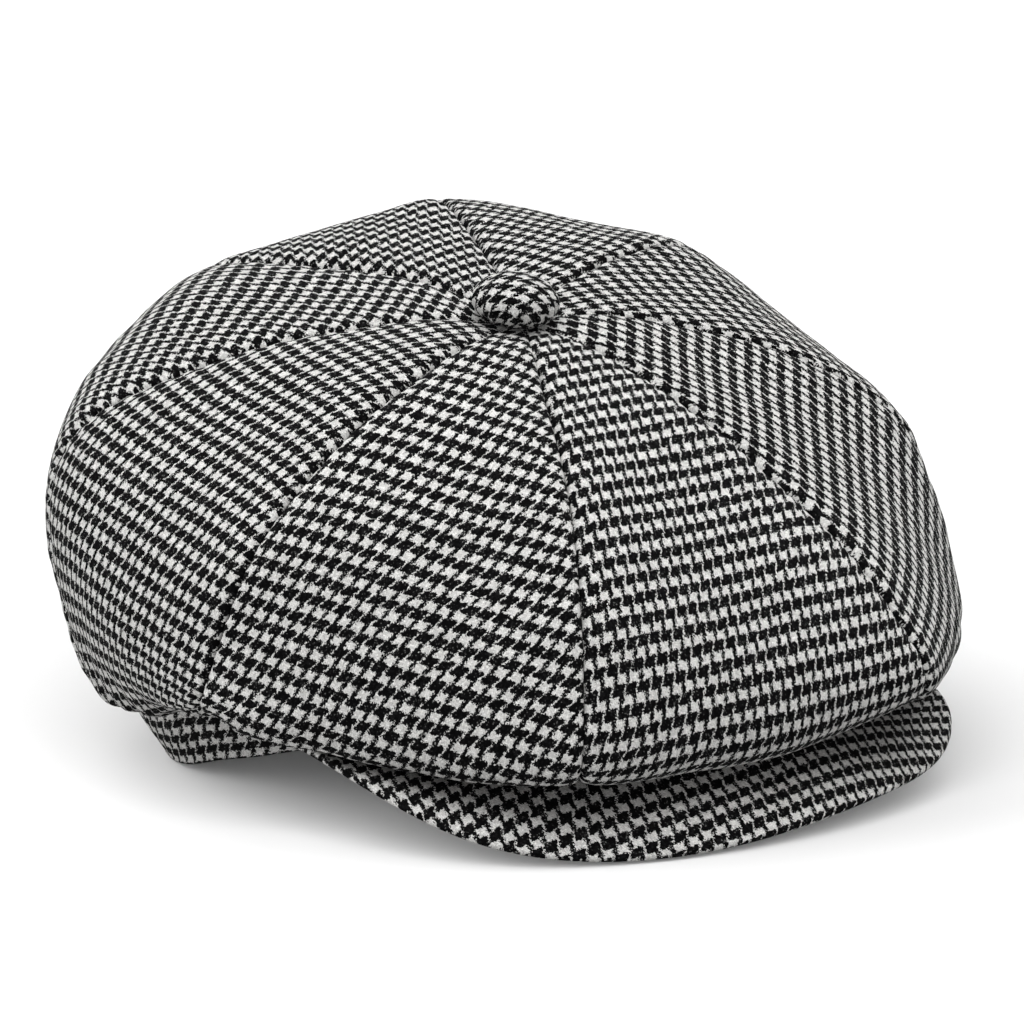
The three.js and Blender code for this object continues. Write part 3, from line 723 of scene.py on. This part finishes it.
# a white backdrop all round, seen only where a low view looks past the floor
turn = np.radians(np.arange(0, 360, 7.5))
ring = [(11.8 * np.sin(a), 11.8 * np.cos(a), z) for z in (-.01, 7.0) for a in turn]
data = bpy.data.meshes.new("studio_backdrop")
data.from_pydata(ring, [], [(i, (i + 1) % 48, 48 + (i + 1) % 48, 48 + i) for i in range(48)])
paper = bpy.data.materials.new("studio_backdrop")
paper.use_nodes = True
paper.node_tree.nodes.clear()
glow, end = paper.node_tree.nodes.new("ShaderNodeEmission"), paper.node_tree.nodes.new("ShaderNodeOutputMaterial")
glow.inputs["Strength"].default_value = 1.25
paper.node_tree.links.new(glow.outputs[0], end.inputs[0])
data.materials.append(paper)
backdrop = bpy.data.objects.new("studio_backdrop", data)
bpy.context.scene.collection.objects.link(backdrop)
backdrop.visible_diffuse = backdrop.visible_glossy = backdrop.visible_transmission = backdrop.visible_shadow = False

world = bpy.data.worlds.new("studio")
bpy.context.scene.world = world
world.use_nodes = True
sky = next(n for n in world.node_tree.nodes if n.type == "BACKGROUND")
sky.inputs[0].default_value = (1, 1, 1, 1)
sky.inputs[1].default_value = .56

# a broad overhead lamp, a weak fill from the left and its light thrown back by the table for the cap, and a low
# front lamp, a side lamp and a back lamp for the floor
def only(name, state):
    """A set of lit things: the floor alone, or all but the floor."""
    group = bpy.data.collections.new(name)
    group.objects.link(floor)
    group.collection_objects[0].light_linking.link_state = state
    return group


ON_FLOOR, OFF_FLOOR = only("lit_floor", "INCLUDE"), only("lit_cap", "EXCLUDE")
for name, energy, spread, way, lit in (
        ("overhead", 3.55, 75, (.01, .18, -1.0), OFF_FLOOR), ("left_fill", 1.1, 60, (.83, -.50, -.10), OFF_FLOOR),
        ("left_bounce", .7, 60, (.82, -.50, .42), OFF_FLOOR),
        ("floor_front", 4.9, 60, (.554, .832, -.45), ON_FLOOR), ("floor_left", 1.9, 60, (.83, -.45, -.35), ON_FLOOR),
        ("floor_back", .35, 50, (.06, -1.0, -.90), ON_FLOOR)):
    sun = bpy.data.lights.new(name, "SUN")
    sun.energy, sun.angle = energy, np.radians(spread)
    lamp = bpy.data.objects.new(name, sun)
    lamp.rotation_euler = Vector(way).to_track_quat("-Z", "Y").to_euler()
    bpy.context.scene.collection.objects.link(lamp)
    lamp.light_linking.receiver_collection = lit
    if name == "left_bounce":
        past = only("not_in_its_way", "EXCLUDE")
        past.objects.link(under)
        for part in past.collection_objects:
            part.light_linking.link_state = "EXCLUDE"
        lamp.light_linking.blocker_collection = past

AZIMUTH, ELEVATION, DISTANCE = np.radians(-33.6465), np.radians(11.5), 2500.0
back = np.array([np.sin(AZIMUTH) * np.cos(ELEVATION), -np.cos(AZIMUTH) * np.cos(ELEVATION), np.sin(ELEVATION)])
aim = np.array([np.cos(AZIMUTH), np.sin(AZIMUTH), 0]) * 2.1164 + np.array([0, 0, 71.7203]) + SHIFT
lens = bpy.data.cameras.new("camera")
lens.lens, lens.sensor_width, lens.sensor_height, lens.sensor_fit = 315.14, 36.0, 36.0, "HORIZONTAL"
lens.clip_start, lens.clip_end = .1, 60
camera = bpy.data.objects.new("camera", lens)
camera.location = Vector((aim + back * DISTANCE) / 1000)
camera.rotation_euler = Vector(-back).to_track_quat("-Z", "Y").to_euler()
bpy.context.scene.collection.objects.link(camera)
bpy.context.scene.camera = camera
bpy.context.scene.view_settings.view_transform = "Standard"
bpy.context.scene.view_settings.look = "None"
